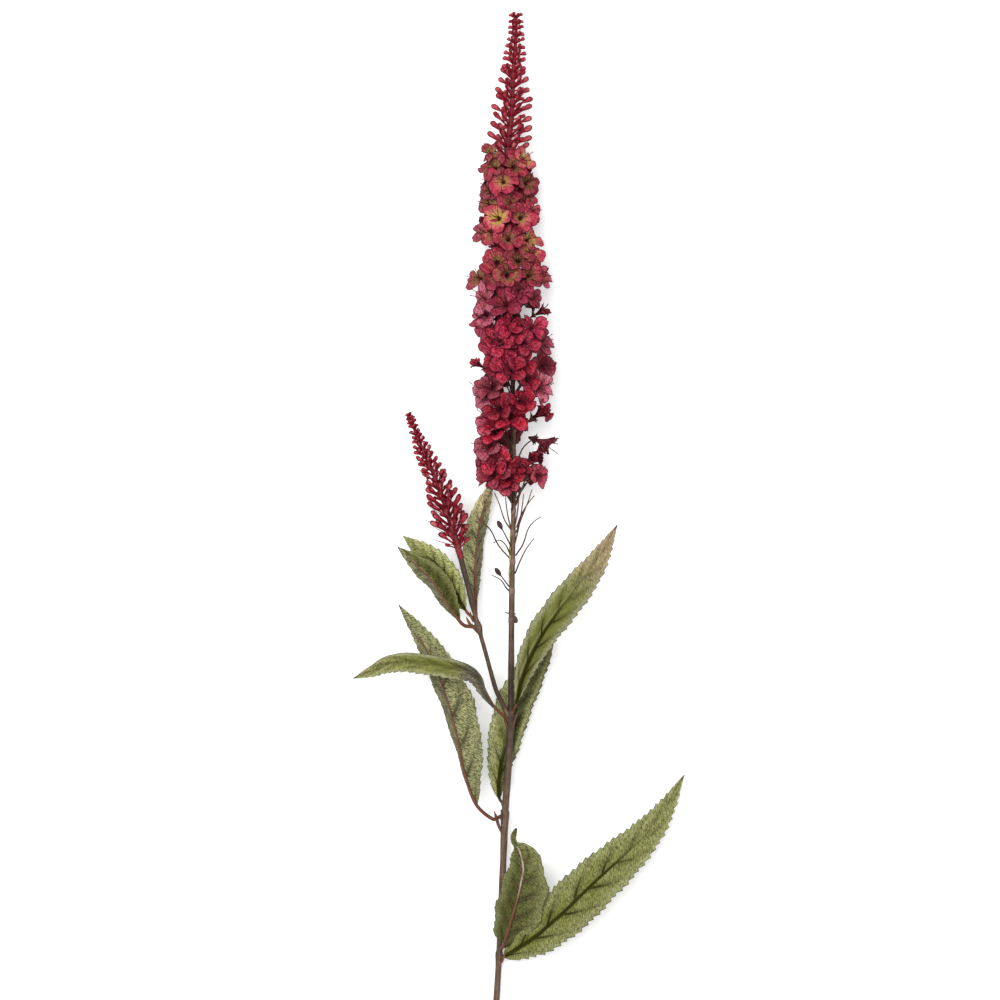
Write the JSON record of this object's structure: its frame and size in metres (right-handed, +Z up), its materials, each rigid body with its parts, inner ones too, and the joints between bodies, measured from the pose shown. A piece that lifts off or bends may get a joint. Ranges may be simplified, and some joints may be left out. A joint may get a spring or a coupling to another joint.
{
  "type": "artificial speedwell spray",
  "caption": "Artificial crimson speedwell spray lying on its side, with a flowering spike, a budded side spike, bare stalks and serrated green leaves",
  "frame": {"origin": "centre of the bounding box of the lying spray, on the surface it lies on", "axes": "+Y along the stem from its cut end to the tip of the flower spike, +Z up from the surface, +X to the right seen from above"},
  "size_m": [0.2682, 0.8152, 0.0616],
  "materials": {
    "stem_plastic": "brown-purple moulded skin, satin",
    "rib_plastic": "orange-brown moulded ribs and petioles, satin",
    "leaf_fabric": "olive woven fabric, printed and pressed, matte",
    "floret_fabric": "crimson pressed fabric petals, matte with a faint sheen",
    "bud_plastic": "raspberry moulded buds, satin",
    "stalk_plastic": "thin brown moulded stalks, satin"
  },
  "bodies": {
    "root": {"flower_tier_01": "floret_fabric", "flower_tier_02": "floret_fabric", "flower_tier_03": "floret_fabric", "flower_tier_04": "floret_fabric", "flower_tier_05": "floret_fabric", "flower_tier_06": "floret_fabric", "flower_tier_07": "floret_fabric", "flower_tier_08": "floret_fabric", "flower_tier_09": "floret_fabric", "flower_tier_10": "floret_fabric", "flower_tier_11": "floret_fabric", "flower_tier_12": "floret_fabric", "flower_tier_13": "floret_fabric", "flower_tier_14": "floret_fabric", "flower_tier_15": "floret_fabric", "flower_tier_16": "floret_fabric", "leaf_high_left": "leaf_fabric", "leaf_high_right": "leaf_fabric", "leaf_low_curled": "leaf_fabric", "leaf_low_right": "leaf_fabric", "leaf_mid_behind": "leaf_fabric", "leaf_mid_left": "leaf_fabric", "leaf_side_back": "leaf_fabric", "leaf_side_front": "leaf_fabric", "leaf_side_right": "leaf_fabric", "main_stem": "stem_plastic", "rib_high_left": "rib_plastic", "rib_high_right": "rib_plastic", "rib_low_curled": "rib_plastic", "rib_low_right": "rib_plastic", "rib_mid_behind": "rib_plastic", "rib_mid_left": "rib_plastic", "rib_side_back": "rib_plastic", "rib_side_front": "rib_plastic", "rib_side_right": "rib_plastic", "side_spike": "bud_plastic", "side_stem": "stem_plastic", "stalk_tier_1": "stalk_plastic", "stalk_tier_2": "stalk_plastic", "stalk_tier_3": "stalk_plastic", "stalk_tier_4": "stalk_plastic", "stalk_tier_5": "stalk_plastic", "tip_spike": "bud_plastic"}
  },
  "joints": []
}
